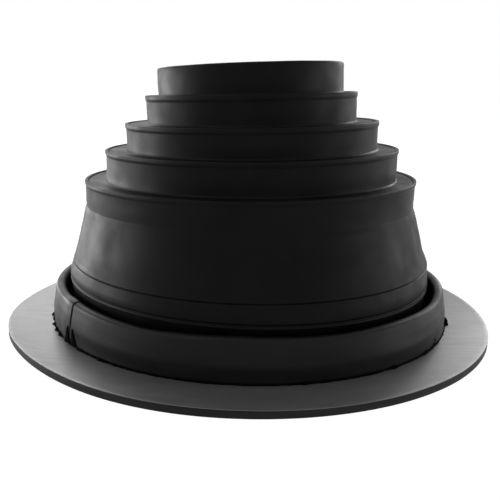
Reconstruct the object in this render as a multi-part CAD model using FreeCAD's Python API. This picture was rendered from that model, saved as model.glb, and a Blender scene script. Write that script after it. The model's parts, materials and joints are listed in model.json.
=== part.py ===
import FreeCAD, Part
import math
import os

V = FreeCAD.Vector
axis_point = V(0, 0, 0)
up = V(0, 0, 1)
whole_turn = 360.0
quarter_turn = 90.0

# Pipe flashing boot of EPDM rubber, in millimetres. The origin is the centre of the flange's underside,
# +Z runs up the pipe, and the front of the boot faces -Y.

# Sleeve: one moulding, a stepped cone of sealing rings on a flared skirt
wall = 3.0
ring_radii = [100.5, 89.2, 76.8, 64.0, 56.3]    # outside, widest ring first
ring_heights = [15.3, 17.9, 16.1, 15.9, 20.4]   # from one shelf to the next
foot_height = 26.8
band_radius = 112.4
band_height = 10.0
band_step = 1.4
band_round = 0.7
shoulder_height = 4.5
shoulder_step = 3.4
shoulder_round = 3.0
skirt_height = 26.8
kink_height = 2.7
kink_step = 1.7
kink_round = 2.0
shelf_fillet = 2.0
lip_overhang = 0.9
lip_height = 1.8
lip_flare = 0.6
lip_width = 2.2
lip_rise = 0.5
lip_round = 0.6
rim_round = 1.3
bore_round = 1.0

# Flange: a flat disc cut from sheet, open for the widest pipe
flange_radius = 150.0
flange_thick = 4.2
hole_clearance = 5.5

# Collar: a strip folded over lengthwise, bent round the sleeve's foot and spliced end to end
collar_height = 23.4
strip_thick = 2.8
fold_radius = 0.7
groove_width = 4.1
splice_angle = 217.3
splice_gap = 0.5
splice_recess = 0.4

# Adhesive squeezed out at the collar's foot, over the splice and in the groove
bead_width = 2.0
bead_height = 2.0
lump_places = [(165, 2.1), (174, 1.7), (183, 2.3), (191, 1.8), (199, 2.2), (206, 1.7), (211, 1.9),
               (236, 1.4), (258, 1.5), (283, 1.3), (309, 1.9), (347, 2.4), (20, 1.6), (96, 1.8)]
patch_thick = 0.9
patch_height = 10.0
patch_width = 13.0
patch_notch_width = 5.0
patch_notch_height = 5.0
bond_height = 4.0

# Levels and radii that follow from the sizes above
band_low = flange_thick + foot_height
band_top = band_low + band_height
shoulder_top = band_top + shoulder_height
skirt_top = shoulder_top + skirt_height
kink_top = skirt_top + kink_height
shelf_levels = [kink_top + sum(ring_heights[:i + 1]) for i in range(len(ring_heights))]
bore_radii = [radius - wall for radius in ring_radii]
rim_fillet = min(rim_round, 0.45 * wall)
foot_radius = band_radius - band_step
skirt_foot_radius = band_radius - shoulder_step
skirt_top_radius = ring_radii[0] + kink_step
hole_radius = bore_radii[0] + hole_clearance
collar_inner = band_radius + groove_width
collar_width = 2 * (strip_thick + fold_radius)
collar_outer = collar_inner + collar_width
collar_top = flange_thick + collar_height


def outline(corners):
    """Face in the XZ plane through (radius, height, rounding) corners, each rounded one a tangent arc."""
    points = [V(radius, 0, height) for radius, height, rounding in corners]
    starts, ends, arcs = [], [], []
    for i, (point, corner) in enumerate(zip(points, corners)):
        rounding = corner[2]
        back = (points[i - 1] - point).normalize()
        ahead = (points[(i + 1) % len(points)] - point).normalize()
        if rounding == 0:
            starts.append(point)
            ends.append(point)
            arcs.append(None)
            continue
        half = back.getAngle(ahead) / 2
        middle = (back + ahead).normalize()
        reach = rounding / math.tan(half)
        near = rounding / math.sin(half) - rounding
        starts.append(point + back * reach)
        ends.append(point + ahead * reach)
        arcs.append(point + middle * near)
    edges = []
    for i in range(len(points)):
        edges.append(Part.makeLine(ends[i - 1], starts[i]))
        if arcs[i]:
            edges.append(Part.Arc(starts[i], arcs[i], ends[i]).toShape())
    return Part.Face(Part.Wire(edges))


def turned(face, angle=whole_turn):
    return face.revolve(axis_point, up, angle)


def lip_corners(radius, shelf):
    """Outside of a ring's top: an overhanging lip that stands a little above the shelf behind it."""
    edge = radius + lip_overhang
    crest = shelf + lip_rise
    return [
        (radius, crest - lip_height - lip_flare, lip_round),
        (edge, crest - lip_height, lip_round),
        (edge, crest, lip_round),
        (edge - lip_width, crest, lip_rise / 2),
        (edge - lip_width, shelf, 0),
    ]


def sleeve_outside():
    corners = [
        (foot_radius, flange_thick, 0),
        (foot_radius, band_low, band_round),
        (band_radius, band_low + band_step, band_round),
        (band_radius, band_top, band_round),
        (skirt_foot_radius, shoulder_top, shoulder_round),
        (skirt_top_radius, skirt_top, kink_round),
        (ring_radii[0], kink_top, kink_round / 2),
    ]
    for i, shelf in enumerate(shelf_levels[:-1]):
        corners += lip_corners(ring_radii[i], shelf)
        corners.append((ring_radii[i + 1], shelf, shelf_fillet))
    corners.append((ring_radii[-1], shelf_levels[-1], rim_fillet))
    return corners


def sleeve_inside():
    corners = [(bore_radii[-1], shelf_levels[-1], rim_fillet)]
    for i in reversed(range(len(shelf_levels) - 1)):
        ceiling = shelf_levels[i] - wall
        corners.append((bore_radii[i + 1], ceiling, bore_round))
        corners.append((bore_radii[i], ceiling, bore_round))
    corners += [
        (bore_radii[0], kink_top, 0),
        (skirt_top_radius - wall, skirt_top, 0),
        (skirt_foot_radius - wall, shoulder_top, shoulder_round),
        (foot_radius - wall, band_top, 0),
        (foot_radius - wall, flange_thick, 0),
    ]
    return corners


def make_sleeve():
    return turned(outline(sleeve_outside() + sleeve_inside()))


def make_flange():
    disc = Part.makeCylinder(flange_radius, flange_thick)
    return disc.cut(Part.makeCylinder(hole_radius, flange_thick))


def fold_face(recess=0.0):
    """Section of the folded strip, a U with its closed end up; a recess takes that much off its outside."""
    middle = collar_inner + collar_width / 2
    bend = collar_top - collar_width / 2
    outer = collar_width / 2 - recess
    inner = fold_radius
    points = [V(middle + offset, 0, bend) for offset in (outer, -outer, -inner, inner)]
    feet = [V(point.x, 0, flange_thick) for point in points]
    return Part.Face(Part.Wire([
        Part.makeLine(feet[0], points[0]),
        Part.Arc(points[0], V(middle, 0, bend + outer), points[1]).toShape(),
        Part.makeLine(points[1], feet[1]),
        Part.makeLine(feet[1], feet[2]),
        Part.makeLine(feet[2], points[2]),
        Part.Arc(points[2], V(middle, 0, bend + inner), points[3]).toShape(),
        Part.makeLine(points[3], feet[3]),
        Part.makeLine(feet[3], feet[0]),
    ]))


def at_splice(shape):
    """Turn a shape made on the +X side round to where the strip's ends meet."""
    return shape.rotate(axis_point, up, splice_angle)


def splice_slot():
    length = 2 * collar_width
    slot = Part.makeBox(length, splice_gap, collar_top, V(collar_inner - collar_width / 2, -splice_gap / 2, 0))
    return at_splice(slot)


def ring_space(inner, outer, low, high):
    tube = Part.makeCylinder(outer, high - low, V(0, 0, low))
    return tube.cut(Part.makeCylinder(inner, high - low, V(0, 0, low)))


def make_collar():
    return turned(fold_face()).cut(splice_slot())


def patch_prism():
    """Inverted V of adhesive, drawn flat and pushed through the collar's outer wall."""
    start = collar_outer - strip_thick / 2
    corners = [
        (-patch_width / 2, 0),
        (0, patch_height),
        (patch_width / 2, 0),
        (patch_notch_width / 2, 0),
        (0, patch_notch_height),
        (-patch_notch_width / 2, 0),
    ]
    points = [V(start, side, flange_thick + height) for side, height in corners]
    face = Part.Face(Part.makePolygon(points + points[:1]))
    return at_splice(face.extrude(V(collar_width, 0, 0)))


def make_splice_patch(collar):
    top = flange_thick + patch_height
    skin = ring_space(collar_outer - strip_thick / 2, collar_outer + patch_thick, flange_thick, top)
    patch = patch_prism().common(skin).cut(collar)
    film = turned(fold_face(splice_recess)).common(splice_slot())
    return patch.fuse(film).removeSplitter()


def make_foot_bead(splice_patch):
    """Fillet of squeezed-out adhesive round the collar's foot, with lumps where more came out."""
    bead = turned(outline([
        (collar_outer, flange_thick, 0),
        (collar_outer + bead_width, flange_thick, 0),
        (collar_outer, flange_thick + bead_height, 0),
    ]))
    for angle, radius in lump_places:
        turn = math.radians(angle)
        centre = V(math.cos(turn), math.sin(turn), 0) * (collar_outer + bead_width / 2)
        bead = bead.fuse(Part.makeSphere(radius, centre + V(0, 0, flange_thick)))
    reach = collar_outer + collar_width
    kept = ring_space(collar_outer, reach, flange_thick, collar_top)
    return bead.common(kept).cut(splice_patch)


def make_groove_bond():
    """Adhesive in the bottom of the groove, between the sleeve's foot and the collar."""
    return ring_space(foot_radius, collar_inner, flange_thick, flange_thick + bond_height)


def main():
    os.makedirs("parts", exist_ok=True)
    collar = make_collar()
    splice_patch = make_splice_patch(collar)
    parts = {
        "flange": make_flange(),
        "sleeve": make_sleeve(),
        "collar": collar,
        "splice_adhesive": splice_patch,
        "foot_bead": make_foot_bead(splice_patch),
        "groove_bond": make_groove_bond(),
    }
    for name, shape in parts.items():
        shape.exportStep("parts/" + name + ".step")
        print(name, len(shape.Solids), "solids", round(shape.Volume), "mm3", shape.isValid())


main()
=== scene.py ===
import bpy
import json
import math
import numpy as np
from mathutils import Matrix, Vector


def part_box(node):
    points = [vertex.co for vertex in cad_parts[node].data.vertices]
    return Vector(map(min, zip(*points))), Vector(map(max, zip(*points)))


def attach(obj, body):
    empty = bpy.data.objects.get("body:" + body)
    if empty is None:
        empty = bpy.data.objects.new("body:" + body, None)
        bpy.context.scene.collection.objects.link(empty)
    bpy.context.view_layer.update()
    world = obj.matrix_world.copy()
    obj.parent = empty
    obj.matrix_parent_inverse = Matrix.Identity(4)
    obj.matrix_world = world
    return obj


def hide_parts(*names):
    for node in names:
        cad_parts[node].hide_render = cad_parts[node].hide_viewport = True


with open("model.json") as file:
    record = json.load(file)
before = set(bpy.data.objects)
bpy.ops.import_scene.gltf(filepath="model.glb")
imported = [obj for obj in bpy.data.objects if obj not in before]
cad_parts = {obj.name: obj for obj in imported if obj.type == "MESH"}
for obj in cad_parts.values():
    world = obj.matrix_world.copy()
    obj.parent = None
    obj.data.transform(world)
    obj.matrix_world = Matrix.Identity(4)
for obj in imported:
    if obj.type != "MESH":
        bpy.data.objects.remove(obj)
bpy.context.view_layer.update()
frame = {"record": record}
mm = 0.001
fullTurn = 2 * math.pi
print("frame loaded")


# Camera, floor and light

cameraSetup = {
    "place": (0, -433 * mm, 146 * mm),
    "down": 13.46,  # degrees, as is the roll
    "roll": 1.255,
    "lens": 49.57,  # in the camera's own millimetres, as is the sensor
    "sensor": 36,
    "nearest": 10 * mm,
}
floorSetup = {
    "radius": 8,
    "corners": 64,
    "gap": 0.3 * mm,
    "paint": 0.8,  # what lights the boot
    "seenPaint": 0.25,  # what the camera and reflections see, under the glow
    "seenGlow": 0.93,
}
skySetup = {"seen": 1.0, "soft": 0.32}  # what the camera and reflections see, what lights the boot
lampSetup = [
    # name, place, watts, width, height
    ("keyLamp", (-0.9, -0.7, 1.3), 3, 0.9, 0.9),
    ("leftBackLamp", (-1.1, 1.9, 1.35), 25, 1.4, 1.0),
    ("leftSideLamp", (-1.9, 0.65, 0.2), 33, 2.1, 0.36),
    ("leftLowLamp", (-1.0, 0.35, 0.05), 2.6, 1.2, 0.09),
    ("rightBackLamp", (1.4, 1.8, 0.8), 20, 1.2, 1.0),
    ("rightSideLamp", (1.9, 0.1, 0.2), 11, 1.8, 0.36),
]


def link(tree, source, target):
    tree.links.new(source, target)


def combined(tree, operation, first, second):
    node = tree.nodes.new("ShaderNodeMath")
    node.operation = operation
    link(tree, first, node.inputs[0])
    link(tree, second, node.inputs[1])
    return node.outputs[0]


def addCamera():
    data = bpy.data.cameras.new("camera")
    data.lens = cameraSetup["lens"]
    data.sensor_width = cameraSetup["sensor"]
    data.clip_start = cameraSetup["nearest"]
    camera = bpy.data.objects.new("camera", data)
    bpy.context.scene.collection.objects.link(camera)
    tip = Matrix.Rotation(math.radians(90 - cameraSetup["down"]), 4, "X")
    roll = Matrix.Rotation(math.radians(cameraSetup["roll"]), 4, "Z")
    camera.matrix_world = Matrix.Translation(cameraSetup["place"]) @ tip @ roll
    bpy.context.scene.camera = camera


def seenRay(tree):
    # 1 for camera, glossy and transmission rays, 0 for the rest
    path = tree.nodes.new("ShaderNodeLightPath")
    seen = path.outputs["Is Camera Ray"]
    for name in ("Is Glossy Ray", "Is Transmission Ray"):
        seen = combined(tree, "MAXIMUM", seen, path.outputs[name])
    return seen


def addSky():
    world = bpy.data.worlds.new("sky")
    bpy.context.scene.world = world
    world.use_nodes = True
    tree = world.node_tree
    glow = tree.nodes["Background"]
    level = tree.nodes.new("ShaderNodeMapRange")
    link(tree, seenRay(tree), level.inputs["Value"])
    level.inputs["To Min"].default_value = skySetup["soft"]
    level.inputs["To Max"].default_value = skySetup["seen"]
    glow.inputs["Color"].default_value = (1, 1, 1, 1)
    link(tree, level.outputs["Result"], glow.inputs["Strength"])


def addFloor():
    # a flat disc, wide enough to meet the sky far behind the boot
    corners, reach = floorSetup["corners"], floorSetup["radius"]
    turn = np.linspace(0, fullTurn, corners, endpoint=False)
    rim = np.stack([reach * np.cos(turn), reach * np.sin(turn), np.full(corners, -floorSetup["gap"])], -1)
    mesh = bpy.data.meshes.new("floor")
    mesh.from_pydata(rim, [], [list(range(corners))])
    floor = bpy.data.objects.new("floor", mesh)
    bpy.context.scene.collection.objects.link(floor)
    paint = bpy.data.materials.new("floorPaint")
    paint.use_nodes = True
    tree = paint.node_tree
    tree.nodes.clear()
    plain = tree.nodes.new("ShaderNodeBsdfDiffuse")
    seen = tree.nodes.new("ShaderNodeBsdfDiffuse")
    glow = tree.nodes.new("ShaderNodeEmission")
    both = tree.nodes.new("ShaderNodeAddShader")
    choice = tree.nodes.new("ShaderNodeMixShader")
    out = tree.nodes.new("ShaderNodeOutputMaterial")
    plain.inputs["Color"].default_value = [floorSetup["paint"]] * 3 + [1]
    seen.inputs["Color"].default_value = [floorSetup["seenPaint"]] * 3 + [1]
    glow.inputs["Strength"].default_value = floorSetup["seenGlow"]
    link(tree, seen.outputs[0], both.inputs[0])
    link(tree, glow.outputs[0], both.inputs[1])
    link(tree, seenRay(tree), choice.inputs["Fac"])
    link(tree, plain.outputs[0], choice.inputs[1])
    link(tree, both.outputs[0], choice.inputs[2])
    link(tree, choice.outputs[0], out.inputs["Surface"])
    mesh.materials.append(paint)


def addLamps():
    # area lamps that face the origin
    for name, place, watts, width, height in lampSetup:
        data = bpy.data.lights.new(name, "AREA")
        data.shape = "RECTANGLE"
        data.size = width
        data.size_y = height
        data.energy = watts
        lamp = bpy.data.objects.new(name, data)
        bpy.context.scene.collection.objects.link(lamp)
        aim = Vector(place).to_track_quat("Z", "Y").to_matrix().to_4x4()
        lamp.matrix_world = Matrix.Translation(place) @ aim
        lamp.visible_camera = False


bpy.context.scene.view_settings.view_transform = "Standard"
addCamera()
addSky()
addFloor()
addLamps()
print("camera, floor and light placed")


# Shapes shared by the pieces

def waves(angle, seed, counts, size):
    # size x the mean over the counts of cos(count x angle + phase), with the phases drawn from the seed
    phases = np.random.default_rng(seed).uniform(0, fullTurn, len(counts))
    return size * sum(np.cos(count * angle + phase) for count, phase in zip(counts, phases)) / len(counts)


def bump(distance, width):
    # bell curve: exp(-(distance / width) squared)
    return np.exp(-(distance / width) ** 2)


def fromAngle(angle, degrees):
    # signed turn from a place on the ring to the angle, kept within half a turn either way
    return (angle - math.radians(degrees) + math.pi) % fullTurn - math.pi


def bells(angle, places):
    # sum over the places of size x bell curve of the turn from there, with place and spread in degrees
    return sum(size * bump(fromAngle(angle, place), math.radians(spread)) for place, spread, size in places)


def smooth(value, low, high):
    # smoothstep: 3t^2 - 2t^3 of the value's share t of the way from low to high
    share = np.clip((value - low) / (high - low), 0, 1)
    return share * share * (3 - 2 * share)


def jagged(angle, seed, places, size):
    # random heights from 0 to the size at evenly spaced places round the ring, straight in between
    heights = np.random.default_rng(seed).uniform(0, size, places)
    return np.interp(angle / fullTurn * places, np.arange(places + 1), np.append(heights, heights[0]))


def cutRun(start, end, step):
    # points between two ends of a straight run, spaced no wider than the step, without the ends
    count = math.ceil(np.linalg.norm(end - start) / step)
    share = np.arange(1, count)[:, None] / max(count, 1)
    return start + (end - start) * share


def roundedLine(corners, step, arcStep=15):
    # closed section through (radius, height, rounding) corners: a tangent arc at each, cut about every
    # arcStep degrees, with the straight runs between them cut at the step
    nearlyStraight = math.radians(89.9)
    points = np.array([corner[:2] for corner in corners], float)
    line = []
    for i, (point, corner) in enumerate(zip(points, corners)):
        back = points[i - 1] - point
        ahead = points[(i + 1) % len(points)] - point
        back = back / np.linalg.norm(back)
        ahead = ahead / np.linalg.norm(ahead)
        half = math.acos(np.clip(back @ ahead, -1, 1)) / 2
        if corner[2] == 0 or half > nearlyStraight:
            arc = point[None]
        else:
            middle = (back + ahead) / np.linalg.norm(back + ahead)
            centre = point + middle * corner[2] / math.sin(half)
            start = point + back * corner[2] / math.tan(half) - centre
            end = point + ahead * corner[2] / math.tan(half) - centre
            sweep = math.pi - 2 * half
            count = max(2, round(math.degrees(sweep) / arcStep)) + 1
            share = np.linspace(0, 1, count)[:, None]
            blend = np.sin((1 - share) * sweep) * start + np.sin(share * sweep) * end
            arc = centre + blend / math.sin(sweep)
        if line:
            line.append(cutRun(line[-1][-1], arc[0], step))
        line.append(arc)
    line.append(cutRun(line[-1][-1], line[0][0], step))
    return np.vstack(line)


def outward(line):
    # unit normals of a closed section: its direction of travel turned a quarter turn to the right
    travel = np.roll(line, -1, 0) - np.roll(line, 1, 0)
    length = np.maximum(np.linalg.norm(travel, axis=1, keepdims=True), 1e-9)
    return np.stack([travel[:, 1], -travel[:, 0]], -1) / length


def turns(count, dense=()):
    # even angles round the ring, and extra ones in each dense (degrees, half width in degrees, count) stretch
    parts = [np.linspace(0, fullTurn, count, endpoint=False)]
    for place, halfWidth, extra in dense:
        parts.append(np.radians(np.linspace(place - halfWidth, place + halfWidth, extra)) % fullTurn)
    angle = np.unique(np.concatenate(parts))
    return angle[np.append(np.diff(angle) > 1e-5, True)]  # without near doubles


def turnedGrid(radius, height, angle, aside=0):
    # section turned about an upright axis: x = radius cos(angle) + aside, y = radius sin(angle), z = height
    return np.stack(np.broadcast_arrays(radius * np.cos(angle) + aside, radius * np.sin(angle), height), -1)


def makeObject(name, points, faces):
    mesh = bpy.data.meshes.new(name)
    mesh.from_pydata(points, [], faces)
    mesh.polygons.foreach_set("use_smooth", np.ones(len(mesh.polygons), bool))
    mesh.update()
    piece = bpy.data.objects.new(name, mesh)
    bpy.context.scene.collection.objects.link(piece)
    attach(piece, "root")
    return piece


def gridQuads(ids):
    # one quad between each pair of neighbouring rows and columns
    return np.stack([ids[:-1, :-1], ids[:-1, 1:], ids[1:, 1:], ids[1:, :-1]], -1).reshape(-1, 4)


def gridPiece(name, grid):
    # surface of a grid whose last row and column join the first
    rows, cols = grid.shape[:2]
    ids = np.arange(rows * cols).reshape(rows, cols)
    ids = np.vstack([ids, ids[:1]])
    ids = np.hstack([ids, ids[:, :1]])
    return makeObject(name, grid.reshape(-1, 3), gridQuads(ids))


def slabPiece(name, front, back):
    # two open grids of one shape, the front facing out and the back turned over, joined round their border
    rows, cols = front.shape[:2]
    face = np.arange(rows * cols).reshape(rows, cols)
    rear = face + rows * cols
    border = np.concatenate([face[0], face[1:, -1], face[-1, -2::-1], face[-2:0:-1, 0]])
    following = np.roll(border, -1)
    under = border + rows * cols
    sides = np.stack([under, np.roll(under, -1), following, border], -1)
    points = np.vstack([front.reshape(-1, 3), back.reshape(-1, 3)])
    quads = np.vstack([gridQuads(face), gridQuads(rear)[:, [0, 3, 2, 1]], sides])
    return makeObject(name, points, quads)


# Flange

flangeDisc = {
    "shrink": 0.02 * mm,  # how much smaller the disc is than its solid
    "holeClearance": 5.5 * mm,
    "step": 2.2 * mm,
    "arcStep": 20,
    "columns": 720,
    "topRound": 0.3 * mm,
    "bottomRound": 0.08 * mm,
    "cutWave": 0.15 * mm,
    "cutReach": 8,  # the higher, the nearer the rim the cut's waves stay
    # where the rim lifts off the floor: place and spread in degrees, height
    "curls": [(211, 24, 2.3 * mm), (12, 20, 0.8 * mm)],
    "curlStart": 121 * mm,
    "sag": 0.15 * mm,
    # where the disc was cut a little short: place and spread in degrees, depth
    "shortCuts": [(158, 24, 3.2 * mm)],
}
# the bores of the sealing rings, widest first
seals = [mount for mount in frame["record"]["mounts"] if mount["kind"] == "bore"]
seals.sort(key=lambda mount: -mount["dims"]["r_mm"])


def makeFlange():
    # flat ring, with share the part of the way from curlStart to the rim: it rises by share squared x the
    # curls' bell curves + slow waves, and its radius loses share x the short cuts and share ^ cutReach x the
    # waves of the cut
    disc = flangeDisc
    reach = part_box("flange")[1]
    radius = reach.x - disc["shrink"]
    hole = seals[0]["dims"]["r_mm"] * mm + disc["holeClearance"]
    top, bottom = disc["topRound"], disc["bottomRound"]
    corners = [(radius, 0, bottom), (radius, reach.z, top), (hole, reach.z, top), (hole, 0, bottom)]
    line = roundedLine(corners, disc["step"], disc["arcStep"])
    angle = turns(disc["columns"])
    share = np.clip((line[:, :1] - disc["curlStart"]) / (radius - disc["curlStart"]), 0, 1)
    rough = waves(angle, 3, (7, 19, 41, 83, 137), 0.5) + waves(angle, 4, (3, 5), 0.5)
    cut = disc["cutWave"] * (rough - 1) / 2
    out = line[:, :1] + share ** disc["cutReach"] * cut - share * bells(angle, disc["shortCuts"])
    sag = waves(angle, 5, (2, 3, 5, 9), disc["sag"]) * share * line[:, 1:] / reach.z
    up = line[:, 1:] + share ** 2 * bells(angle, disc["curls"]) + sag
    piece = gridPiece("flangeDisc", turnedGrid(out, up, angle))
    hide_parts("flange")
    return piece


# Collar

collarStrip = {
    "thick": 2.8 * mm,
    "width": 7.0 * mm,
    "bulge": 0.25 * mm,
    "bulgeUp": 9 * mm,
    "bulgeRound": 14 * mm,
    "roll": 2.5 * mm,
    "rollDrop": 7.0 * mm,
    "rollRound": 6 * mm,
    "lean": 2.4 * mm,
    "leanShare": 0.38,  # of the lean, where the roll starts
    "leanInside": 0.8 * mm,
    "topThick": 2.3 * mm,
    "insideRound": 0.2 * mm,
    "step": 1.6 * mm,
    "columns": 420,
    "splice": 217.3,  # degrees
    "spliceTurns": [(1.2, 46), (5, 40)],  # half width in degrees and count of the extra turns at the splice
    "slitDepth": 1.1 * mm,
    "slitWidth": 0.5 * mm,
    "slitLow": 9 * mm,
    "slitRise": 9 * mm,
    "lapRise": 1.0 * mm,
    "lapWidth": 8 * mm,
    "lapAside": 6 * mm,
    "waviness": 0.28 * mm,
    "tallWaviness": 0.196 * mm,
    "tallTwist": 55,  # radians that the tall waves turn in a metre of height
    "movedFacing": (-1 / 6, 2 / 3),  # out + up of the normals that stay put, and of those that move in full
    "footHold": 3 * mm,
    "aside": 0.6 * mm,
    # where the rim dips: place and spread in degrees, depth
    "dips": [(244, 16, 1.3 * mm), (292, 17, 0.9 * mm), (330, 16, 1.1 * mm)],
    "dipStart": 8 * mm,
}


def collarOut(angle, height):
    # how far the strip's wall stands out from its plain ring: slow waves + a lap left of the splice - a slit
    strip = collarStrip
    along = fromAngle(angle, strip["splice"]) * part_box("collar")[1].x
    slow = waves(angle, 11, (2, 3, 5, 7, 11), strip["waviness"])
    tall = waves(angle + height * strip["tallTwist"], 12, (3, 4, 9), strip["tallWaviness"])
    lap = strip["lapRise"] * bump(along + strip["lapAside"], strip["lapWidth"])
    slit = strip["slitDepth"] * bump(along, strip["slitWidth"])
    slit = slit * smooth(height, strip["slitLow"], strip["slitLow"] + strip["slitRise"])
    return slow + tall + lap - slit


def makeCollar():
    # a folded strip's section turned about Z, each point moved along the section's normal by collarOut; the
    # rim then dips by the dips' bell curves, and the whole ring is moved aside towards +X
    strip = collarStrip
    low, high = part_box("collar")
    foot, top, outer = low.z, high.z, high.x
    inner = outer - strip["width"]
    thick, roll, lean = strip["thick"], strip["roll"], strip["lean"]
    innerTop, topThick = inner - strip["leanInside"], strip["topThick"]
    corners = [
        (outer, foot, 0),
        (outer + strip["bulge"], foot + strip["bulgeUp"], strip["bulgeRound"]),
        (outer - lean * strip["leanShare"], top - strip["rollDrop"], strip["rollRound"]),
        (outer - lean, top, roll),
        (innerTop, top, roll),
        (inner, foot, 0),
        (inner + thick, foot, 0),
        (innerTop + topThick, top - thick, strip["insideRound"]),
        (outer - topThick - lean, top - thick, strip["insideRound"]),
        (outer - thick, foot, 0),
    ]
    line = roundedLine(corners, strip["step"])
    normal = outward(line)
    angle = turns(strip["columns"], [(strip["splice"], *extra) for extra in strip["spliceTurns"]])
    moved = smooth(normal.sum(axis=1, keepdims=True), *strip["movedFacing"])
    moved = moved * smooth(line[:, 1:], foot, foot + strip["footHold"])
    move = collarOut(angle, line[:, 1:]) * moved
    out, up = line[:, :1] + normal[:, :1] * move, line[:, 1:] + normal[:, 1:] * move
    up = up - bells(angle, strip["dips"]) * smooth(up, foot + strip["dipStart"], top)
    piece = gridPiece("collarStrip", turnedGrid(out, up, angle, strip["aside"]))
    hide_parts("collar")
    return piece


# Sleeve

sleeveMould = {
    "wall": 3.0 * mm,
    "boreRound": 1.0 * mm,
    "footRadius": 111.0 * mm,
    "footLip": 112.3 * mm,
    "footLipDrop": 6.0 * mm,
    "footLipGap": 0.5 * mm,
    "bandRadius": 112.4 * mm,
    "bandLow": 29.6 * mm,
    "bandTop": 41.0 * mm,
    "bandLean": 1.9 * mm,
    "leanHalfway": 0.38 * mm,
    "bandTilt": -0.015,  # rise per metre towards +X
    "bandTiltTall": 5 * mm,
    "beadHeight": 0.9 * mm,
    "beadIn": 0.35 * mm,
    "lineDepth": 0.77 * mm,
    "topLineDepth": 0.7 * mm,
    "topLineBack": 0.1 * mm,
    "lineWidth": 0.6 * mm,
    "shoulderIn": 1.0 * mm,
    "shoulderUp": 2.7 * mm,
    "shoulderTop": 45.3 * mm,
    "skirtFoot": 109.1 * mm,
    "creaseUp": 3.6 * mm,
    "creaseIn": 1.05 * mm,
    "kinkDrop": 2.7 * mm,
    "kinkOut": 1.6 * mm,
    "wideRing": 0.6 * mm,  # how far the widest ring stands out
    "lipOut": 0.6 * mm,
    "lipHeights": [1.5 * mm, 1.6 * mm, 2.1 * mm, 2.1 * mm],  # widest ring first
    "lipFlare": 1.5 * mm,
    "lipWidth": 2.1 * mm,
    "lipRise": 0.55 * mm,
    "lipRound": 0.4 * mm,
    "lipGroove": 0.3 * mm,
    "lipGrooveStart": 0.1 * mm,
    "lipGrooveEnd": 0.7 * mm,
    "rimMiddle": 157.1 * mm,
    # roundings of the section's corners
    "rounds": {
        "footFlare": 1.5 * mm, "footLip": 0.3 * mm, "bandLow": 0.4 * mm, "beadTop": 0.2 * mm,
        "line": 0.1 * mm, "bandFoot": 0.4 * mm, "bandFace": 9 * mm, "bandTop": 0.3 * mm, "topLine": 0.12 * mm,
        "shoulderEdge": 0.5 * mm, "shoulder": 1.4 * mm, "skirtFoot": 2 * mm, "crease": 2.5 * mm,
        "kinkLow": 2.6 * mm, "kinkTop": 1.1 * mm, "lipGroove": 0.1 * mm, "lipGrooveEdge": 0.3 * mm,
        "shelf": 1.3 * mm, "rim": 1.3 * mm, "insideKink": 1 * mm, "insideSkirt": 2 * mm,
        "insideBand": 1 * mm,
    },
    "step": 4.0 * mm,
    "arcStep": 24,
    "columns": 280,
    # in mm: height of the middle line above the flange's underside, and how far it has drifted towards +X
    "drift": [(0, -0.4), (45, -0.1), (57, 0), (68, -0.3), (78, -1.0), (90, -0.8), (96, -0.3), (108, -0.3),
              (115, -0.4), (124, -0.6), (132, -0.9), (150, -2.0), (170, -2.2)],
    # height in mm, rise per metre towards +X, lift in mm
    "lean": [(64, 0, 0), (78, 0.008, -0.1), (90, 0.018, -0.3), (108, 0.024, -0.4), (124, 0.032, -0.4),
             (139, 0.042, 0.4), (170, 0.042, 0.4)],
    "rimTall": 14 * mm,
    "rimAcross": 0.0545,  # the rim's rise per metre towards +X
    "rimAlong": -0.0115,  # and towards +Y
    "softness": 0.3 * mm,
    "softTwist": 9,  # radians that the slow waves turn in a metre of height
    "dents": 0.07 * mm,
    "dentTwists": (40, -70),
    "looseRise": (30 * mm, 60 * mm),  # heights between which softness and dents set in
    # the shoulder swells to one side: place and spread in degrees, how far out
    "swells": [(0, 32, 1.5 * mm)],
    "swellUp": 43 * mm,
    "swellTall": 4.5 * mm,
    # upright folds in the skirt: place and spread in degrees, how far out
    "folds": [(331, 2.4, 0.22 * mm), (337, 2.0, -0.3 * mm), (344, 2.4, 0.25 * mm), (203, 2.5, -0.2 * mm),
              (222, 3.5, 0.15 * mm), (288, 4, -0.1 * mm)],
    "foldRise": 8 * mm,
    "foldFade": (66 * mm, 76 * mm),
}


def lipCorners(wall, shelf, lipHeight, nextRadius):
    # a ring's top: the wall flares into an overhanging lip, with a fine groove between it and the shelf
    mould, rounds = sleeveMould, sleeveMould["rounds"]
    edge = wall + mould["lipOut"]
    back = edge - mould["lipWidth"]
    crest = shelf + mould["lipRise"]
    return [
        (wall, crest - lipHeight - mould["lipFlare"], 2 * mould["lipRound"]),
        (edge, crest - lipHeight, mould["lipRound"]),
        (edge, crest, mould["lipRound"]),
        (back, crest, mould["lipRise"] / 2),
        (back - mould["lipGrooveStart"], shelf - mould["lipGroove"], rounds["lipGroove"]),
        (back - mould["lipGrooveEnd"], shelf, rounds["lipGrooveEdge"]),
        (nextRadius, shelf, rounds["shelf"]),
    ]


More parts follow.
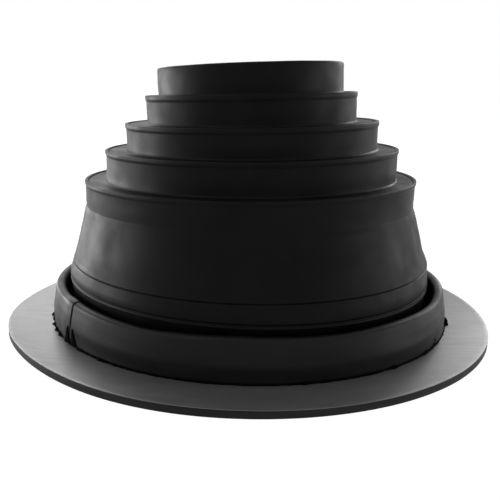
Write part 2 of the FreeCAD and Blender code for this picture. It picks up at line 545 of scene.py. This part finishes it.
def sleeveCorners():
    # (radius, height, rounding) corners of the section, up the outside from the foot and down the inside
    mould, rounds = sleeveMould, sleeveMould["rounds"]
    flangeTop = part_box("sleeve")[0].z
    radii = [seal["dims"]["r_mm"] * mm + mould["wall"] for seal in seals]
    halves = [seal["dims"]["length_mm"] * mm / 2 for seal in seals]
    shelves = [seal["pos_m"][2] + half + mould["boreRound"] + mould["wall"]
               for seal, half in zip(seals, halves)]
    walls = [radii[0] + mould["wideRing"]] + radii[1:]
    kinkTop = seals[0]["pos_m"][2] - halves[0]
    kinkLow = kinkTop - mould["kinkDrop"]
    kinkRadius = radii[0] + mould["kinkOut"]
    groove = mould["lineWidth"] / 2
    band, bandLow, bandTop = mould["bandRadius"], mould["bandLow"], mould["bandTop"]
    beadTop = bandLow + mould["beadHeight"]
    bandHigh = band - mould["bandLean"]
    outside = [
        (mould["footRadius"], flangeTop, 0),
        (mould["footRadius"], bandLow - mould["footLipDrop"], rounds["footFlare"]),
        (mould["footLip"], bandLow - mould["footLipGap"], rounds["footLip"]),
        (band - mould["beadIn"], bandLow, rounds["bandLow"]),
        (band - mould["beadIn"], beadTop, rounds["beadTop"]),
        (band - mould["lineDepth"], beadTop + groove, rounds["line"]),
        (band, beadTop + 3 * groove, rounds["bandFoot"]),
        (band - mould["leanHalfway"], (bandLow + bandTop) / 2, rounds["bandFace"]),
        (bandHigh, bandTop - groove, rounds["bandTop"]),
        (bandHigh - mould["topLineDepth"], bandTop, rounds["topLine"]),
        (bandHigh - mould["topLineBack"], bandTop + 1.5 * groove, rounds["shoulderEdge"]),
        (bandHigh - mould["shoulderIn"], bandTop + mould["shoulderUp"], rounds["shoulder"]),
        (mould["skirtFoot"], mould["shoulderTop"], rounds["skirtFoot"]),
        (mould["skirtFoot"] - mould["creaseIn"], mould["shoulderTop"] + mould["creaseUp"], rounds["crease"]),
        (kinkRadius, kinkLow, rounds["kinkLow"]),
        (walls[0], kinkTop, rounds["kinkTop"]),
    ]
    for wall, shelf, lipHeight, nextRadius in zip(walls, shelves, mould["lipHeights"], radii[1:]):
        outside += lipCorners(wall, shelf, lipHeight, nextRadius)
    outside.append((radii[-1], mould["rimMiddle"], rounds["rim"]))
    inside = [(radii[-1] - mould["wall"], mould["rimMiddle"], rounds["rim"])]
    for i in reversed(range(len(radii) - 1)):
        ceiling = shelves[i] - mould["wall"]
        inside.append((radii[i + 1] - mould["wall"], ceiling, mould["boreRound"]))
        inside.append((radii[i] - mould["wall"], ceiling, mould["boreRound"]))
    inside += [
        (radii[0] - mould["wall"], kinkTop, rounds["insideKink"]),
        (kinkRadius - mould["wall"], kinkLow, rounds["insideKink"]),
        (mould["skirtFoot"] - mould["wall"], mould["shoulderTop"], rounds["insideSkirt"]),
        (mould["footRadius"] - mould["wall"], bandTop, rounds["insideBand"]),
        (mould["footRadius"] - mould["wall"], flangeTop, 0),
    ]
    return outside + inside


def makeSleeve():
    # the section turned about Z: radius + slow waves and dents, which are sums of cosines, + folds and a
    # swell, which are bell curves; it then leans, height + across x slope + lift, and its middle drifts
    mould = sleeveMould
    line = roundedLine(sleeveCorners(), mould["step"], mould["arcStep"])
    height = line[:, 1:]
    angle = turns(mould["columns"])
    slow = waves(angle + height * mould["softTwist"], 21, (2, 3, 4), mould["softness"])
    dents = waves(angle + height * mould["dentTwists"][0], 22, (5, 8, 13), mould["dents"])
    dents = dents + waves(angle + height * mould["dentTwists"][1], 23, (7, 11), mould["dents"])
    loose = smooth(height, *mould["looseRise"])
    skirt = smooth(height, mould["shoulderTop"], mould["shoulderTop"] + mould["foldRise"])
    skirt = skirt * (1 - smooth(height, *mould["foldFade"]))
    swell = bells(angle, mould["swells"]) * bump(height - mould["swellUp"], mould["swellTall"])
    out = line[:, :1] + (slow + dents) * loose + bells(angle, mould["folds"]) * skirt + swell
    across = out * np.cos(angle)
    along = out * np.sin(angle)
    lean = np.array(mould["lean"]) * (mm, 1, mm)
    tilt = np.interp(height, lean[:, 0], lean[:, 1])
    sway = np.interp(height, lean[:, 0], lean[:, 2]) + waves(angle, 24, (3, 5, 9, 14), mould["dents"]) * loose
    rim = smooth(height, mould["rimMiddle"] - mould["rimTall"], mould["rimMiddle"])
    low = bump(height - mould["bandLow"], mould["bandTiltTall"])
    lift = across * (tilt * (1 - rim) + mould["rimAcross"] * rim) + along * mould["rimAlong"] * rim + sway
    lift = lift + across * mould["bandTilt"] * low
    drift = np.array(mould["drift"]) * mm
    across = across + np.interp(height, drift[:, 0], drift[:, 1])
    grid = np.stack(np.broadcast_arrays(across, along, height + lift), -1)
    piece = gridPiece("sleeveMoulding", grid)
    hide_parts("sleeve")
    return piece


# Adhesive

footGlue = {
    "columns": 1500,
    "arcRows": 7,
    "thin": 0.4 * mm,
    "under": 0.5 * mm,
    # how ragged it is outwards and upwards: seed, size, random places round the ring, calm and busy stretches
    "raggedOut": (31, 0.6 * mm, 420, 37),
    "raggedUp": (33, 0.72 * mm, 500, 43),
    "calm": 0.4,
    # where a lump sits and its half width in degrees, how far it stands out and up in mm
    "lumps": [(166, 1.3, 0.5, 0.7), (178, 0.9, 0.9, 1.0), (185, 0.8, 1.5, 1.9), (188, 1.0, 1.1, 0.9),
              (192, 0.5, 1.5, 1.5), (195, 1.5, 0.7, 0.7), (200, 0.9, 1.1, 0.8), (205, 0.6, 0.8, 1.2),
              (209, 1.2, 1.0, 0.9), (214, 0.9, 0.9, 1.2), (222, 1.4, 0.5, 0.6), (231, 0.7, 0.5, 0.6),
              (240, 1.6, 0.3, 0.5), (259, 0.7, 0.4, 0.5), (283, 0.8, 0.6, 0.5), (300, 1.8, 0.3, 0.5),
              (308, 0.9, 0.9, 0.7), (322, 1.6, 0.5, 0.5), (347, 0.8, 2.1, 2.0), (349, 0.5, 1.7, 3.2),
              (20, 0.8, 1.2, 1.2), (58, 0.7, 1.0, 1.1), (96, 1.0, 1.3, 1.4), (131, 0.7, 1.1, 1.0)],
}
wallGlue = {
    "thick": 0.55 * mm,
    "sunk": 0.5 * mm,
    "deep": 1.5 * mm,
    "rows": 60,
    "columns": 90,
    "taper": 0.8,
    "edge": (-0.15 * mm, 0.35 * mm),  # from outside a wedge's edge to where it is at its thickest
    "ragged": 0.25 * mm,
    "raggedTurn": 2400,  # radians in a metre of height
    "raggedShift": 9,  # radians for each mm that the tip lies aside
    "leanRun": 7 * mm,
    # a patch of wedges: name, place in degrees, width and height of its slab, then each wedge in mm: its
    # tip's side and height, its foot's side and half width
    "patches": [
        ("spliceGlue", collarStrip["splice"], 15 * mm, 11.5 * mm,
         [(-2.2, 10.9, -3.6, 2.9), (2.6, 10.4, 4.0, 3.0)]),
        ("glueRun", 328, 5 * mm, 9 * mm, [(0.5, 7.4, -0.3, 0.5)]),
    ],
}
grooveGlue = {
    "columns": 360,
    "rows": 9,
    "tuck": 0.2 * mm,
    "drop": 0.4 * mm,
    "dip": 1.2 * mm,
    "waviness": 0.3 * mm,
}


def raggedLine(turn, seed, size, places, stretches):
    # thin + random heights up to the size, scaled in each stretch by calm + a random share
    busy = footGlue["calm"] + jagged(turn, seed + 1, stretches, 1)
    return footGlue["thin"] + jagged(turn, seed, places, size) * busy


def makeFootGlue():
    # quarter-round fillet, start + (out + under) x cos(t) and foot + up x sin(t), that starts inside the
    # collar's wall; out and up are ragged lines plus bell-shaped lumps
    low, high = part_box("collar")
    turn = turns(footGlue["columns"])
    out = raggedLine(turn, *footGlue["raggedOut"])
    up = raggedLine(turn, *footGlue["raggedUp"])
    for place, spread, lumpOut, lumpUp in footGlue["lumps"]:
        lump = bump(fromAngle(turn, place), math.radians(spread))
        out = out + lump * lumpOut * mm
        up = up + lump * lumpUp * mm
    quarter = np.linspace(0, math.pi / 2, footGlue["arcRows"])[:, None]
    under = footGlue["under"]
    start = high.x - under
    radius = np.vstack([start + (out + under) * np.cos(quarter), np.full_like(turn, start)[None]])
    height = np.vstack([low.z + up * np.sin(quarter), np.full_like(turn, low.z)[None]])
    piece = gridPiece("footGlue", turnedGrid(radius, height, turn, collarStrip["aside"]))
    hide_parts("foot_bead")
    return piece


def makeWallGlue(name, place, width, height, wedges):
    # slab on the collar's wall: inside a wedge, whose half width is its foot's x (1 - up / tip) ^ taper, it
    # stands out by thick, and elsewhere it is sunk into the wall
    low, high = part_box("collar")
    side = np.linspace(-width / 2, width / 2, wallGlue["columns"])[None]
    up = np.linspace(0, height, wallGlue["rows"])[:, None]
    mask = np.zeros((wallGlue["rows"], wallGlue["columns"]))
    for tipSide, tipUp, footSide, halfWidth in wedges:
        share = np.clip(up / (tipUp * mm), 0, 1)
        middle = (footSide + (tipSide - footSide) * share) * mm
        half = halfWidth * mm * (1 - share) ** wallGlue["taper"]
        wobble = np.sin(up * wallGlue["raggedTurn"] + tipSide * wallGlue["raggedShift"])
        ragged = wallGlue["ragged"] * wobble * (1 - share)
        mask = np.maximum(mask, smooth(half + ragged - np.abs(side - middle), *wallGlue["edge"]))
    turn = math.radians(place) + side / high.x
    bulge = collarStrip["bulge"] * np.clip(up / collarStrip["bulgeUp"], 0, 1)
    leaning = np.clip((up - collarStrip["bulgeUp"]) / wallGlue["leanRun"], 0, 1)
    wall = high.x + bulge - collarStrip["lean"] * collarStrip["leanShare"] * leaning
    out = wall + collarOut(turn % fullTurn, low.z + up) * smooth(up, 0, collarStrip["footHold"])
    front = out - wallGlue["sunk"] + mask * (wallGlue["thick"] + wallGlue["sunk"])
    back = out - wallGlue["deep"]
    sheets = [turnedGrid(radius, low.z + up, turn, collarStrip["aside"]) for radius in (front, back)]
    return slabPiece(name, sheets[0], sheets[1])


def makeGrooveGlue():
    # ring in the groove whose top dips by dip x sin(pi x share of the way across), less slow waves
    low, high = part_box("groove_bond")
    turn = turns(grooveGlue["columns"])
    inner = sleeveMould["footRadius"] - grooveGlue["tuck"]
    share = np.linspace(1, 0, grooveGlue["rows"])[:, None]
    dip = grooveGlue["dip"] * np.sin(share * math.pi) - waves(turn, 41, (9, 23, 51), grooveGlue["waviness"])
    radius = np.vstack([inner + (high.x - inner) * share, [[inner], [high.x]]])
    height = np.vstack([high.z - grooveGlue["drop"] - dip, np.full((2, len(turn)), low.z)])
    piece = gridPiece("grooveGlue", turnedGrid(radius, height, turn))
    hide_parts("groove_bond")
    return piece


flange = makeFlange()
collar = makeCollar()
sleeve = makeSleeve()
glues = [makeFootGlue(), makeGrooveGlue()] + [makeWallGlue(*patch) for patch in wallGlue["patches"]]
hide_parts("splice_adhesive")
print("pieces made")


# Materials

skinPattern = {
    "spread": (0.3, 0.7),  # noise between these runs from dark to light, and from smooth to rough
    "roughScale": 60,
    "speckScale": 900,
    "speckSpread": (0.70, 0.78),
    "patchScale": 22,
    "patchSpread": (0.45, 0.7),
    "dustColor": (0.16, 0.16, 0.155, 1),
    "reliefDepth": 0.1 * mm,
}
skinNumbers = ["Blotch Scale", "Grain Scale", "Grain Height", "Rough Low", "Rough High", "Dust"]
skins = {
    "mouldedRubber": {
        "Dark": 0.0006, "Light": 0.0036, "Blotch Scale": 34, "Grain Scale": 500, "Grain Height": 0.35,
        "Rough Low": 0.42, "Rough High": 0.58, "Dust": 0.1,
        "stretch": (1, 1, 1), "specular": 0.075, "ior": 1.5},
    "sheetRubber": {
        "Dark": 0.062, "Light": 0.088, "Blotch Scale": 9, "Grain Scale": 45, "Grain Height": 0.35,
        "Rough Low": 0.36, "Rough High": 0.46, "Dust": 0.1,
        "stretch": (1, 7, 7), "specular": 0.82, "ior": 1.5},
    "cutRubber": {
        "Dark": 0.010, "Light": 0.026, "Blotch Scale": 20, "Grain Scale": 90, "Grain Height": 0.8,
        "Rough Low": 0.5, "Rough High": 0.65, "Dust": 0.1,
        "stretch": (1, 1, 16), "specular": 0.1, "ior": 1.5},
    "stripRubber": {
        "Dark": 0.0004, "Light": 0.0034, "Blotch Scale": 30, "Grain Scale": 500, "Grain Height": 0.35,
        "Rough Low": 0.44, "Rough High": 0.58, "Dust": 0.1,
        "stretch": (1, 1, 1), "specular": 0.135, "ior": 1.5},
    "driedAdhesive": {
        "Dark": 0.001, "Light": 0.003, "Blotch Scale": 160, "Grain Scale": 700, "Grain Height": 0.9,
        "Rough Low": 0.7, "Rough High": 0.85, "Dust": 0.0,
        "stretch": (1, 1, 1), "specular": 0.1, "ior": 1.12},
}


def newGroup(name, inputs, outputs):
    group = bpy.data.node_groups.new(name, "ShaderNodeTree")
    for label, kind in inputs:
        group.interface.new_socket(label, in_out="INPUT", socket_type=kind)
    for label, kind in outputs:
        group.interface.new_socket(label, in_out="OUTPUT", socket_type=kind)
    return group, group.nodes.new("NodeGroupInput"), group.nodes.new("NodeGroupOutput")


def setOrLink(tree, value, target):
    # a plain number is set on the socket, and a socket is linked to it
    if isinstance(value, (int, float)):
        target.default_value = value
    else:
        link(tree, value, target)


def noise(tree, vector, scale, detail, rough=0.55):
    node = tree.nodes.new("ShaderNodeTexNoise")
    link(tree, vector, node.inputs["Vector"])
    setOrLink(tree, scale, node.inputs["Scale"])
    node.inputs["Detail"].default_value = detail
    node.inputs["Roughness"].default_value = rough
    return node.outputs["Fac"]


def ranged(tree, value, low, high, toLow=0.0, toHigh=1.0):
    node = tree.nodes.new("ShaderNodeMapRange")
    node.inputs["From Min"].default_value = low
    node.inputs["From Max"].default_value = high
    link(tree, value, node.inputs["Value"])
    setOrLink(tree, toLow, node.inputs["To Min"])
    setOrLink(tree, toHigh, node.inputs["To Max"])
    return node.outputs["Result"]


def mixed(tree, factor, first, second):
    node = tree.nodes.new("ShaderNodeMix")
    node.data_type = "RGBA"
    link(tree, factor, node.inputs["Factor"])
    link(tree, first, node.inputs["A"])
    link(tree, second, node.inputs["B"])
    return node.outputs["Result"]


def makeSkinGroup():
    # blotched colour, roughness and fine grain of vulcanised rubber, with scattered pale dust
    numberKind, colorKind, vectorKind = "NodeSocketFloat", "NodeSocketColor", "NodeSocketVector"
    inputs = [("Vector", vectorKind), ("Dark", colorKind), ("Light", colorKind)]
    inputs += [(name, numberKind) for name in skinNumbers]
    outputs = [("Color", colorKind), ("Roughness", numberKind), ("Normal", vectorKind)]
    group, enter, leave = newGroup("rubberSkin", inputs, outputs)
    given, look = enter.outputs, skinPattern
    vector = given["Vector"]
    blotch = ranged(group, noise(group, vector, given["Blotch Scale"], detail=4), *look["spread"])
    color = mixed(group, blotch, given["Dark"], given["Light"])
    speck = ranged(group, noise(group, vector, look["speckScale"], detail=1), *look["speckSpread"])
    patch = ranged(group, noise(group, vector, look["patchScale"], detail=2), *look["patchSpread"])
    amount = combined(group, "MULTIPLY", combined(group, "MULTIPLY", speck, patch), given["Dust"])
    pale = group.nodes.new("ShaderNodeRGB")
    pale.outputs[0].default_value = look["dustColor"]
    link(group, mixed(group, amount, color, pale.outputs[0]), leave.inputs["Color"])
    wear = noise(group, vector, look["roughScale"], detail=4)
    rough = ranged(group, wear, *look["spread"], given["Rough Low"], given["Rough High"])
    link(group, rough, leave.inputs["Roughness"])
    relief = group.nodes.new("ShaderNodeBump")
    relief.inputs["Distance"].default_value = look["reliefDepth"]
    link(group, given["Grain Height"], relief.inputs["Strength"])
    grain = noise(group, vector, given["Grain Scale"], detail=5, rough=0.65)
    link(group, grain, relief.inputs["Height"])
    link(group, relief.outputs["Normal"], leave.inputs["Normal"])
    return group


skinGroup = makeSkinGroup()


def makeSkin(name):
    values = skins[name]
    material = bpy.data.materials.new(name)
    material.use_nodes = True
    tree = material.node_tree
    shader = tree.nodes["Principled BSDF"]
    place = tree.nodes.new("ShaderNodeTexCoord")
    stretch = tree.nodes.new("ShaderNodeMapping")
    stretch.inputs["Scale"].default_value = values["stretch"]
    skin = tree.nodes.new("ShaderNodeGroup")
    skin.node_tree = skinGroup
    link(tree, place.outputs["Object"], stretch.inputs["Vector"])
    link(tree, stretch.outputs["Vector"], skin.inputs["Vector"])
    for label in ("Dark", "Light"):
        skin.inputs[label].default_value = [values[label]] * 3 + [1]
    for label in skinNumbers:
        skin.inputs[label].default_value = values[label]
    for label, socket in (("Color", "Base Color"), ("Roughness", "Roughness"), ("Normal", "Normal")):
        link(tree, skin.outputs[label], shader.inputs[socket])
    shader.inputs["IOR"].default_value = values["ior"]
    shader.inputs["Specular IOR Level"].default_value = values["specular"]
    return material


def paintCutEdge(disc, material):
    # faces that look sideways, with a normal under half upright, get the cut rubber
    mesh = disc.data
    normals = np.zeros(len(mesh.polygons) * 3)
    mesh.polygons.foreach_get("normal", normals)
    mesh.materials.append(material)
    mesh.polygons.foreach_set("material_index", (np.abs(normals[2::3]) < 0.5).astype(int))


flange.data.materials.append(makeSkin("sheetRubber"))
paintCutEdge(flange, makeSkin("cutRubber"))
collar.data.materials.append(makeSkin("stripRubber"))
sleeve.data.materials.append(makeSkin("mouldedRubber"))
adhesive = makeSkin("driedAdhesive")
for glue in glues:
    glue.data.materials.append(adhesive)
print("materials made")
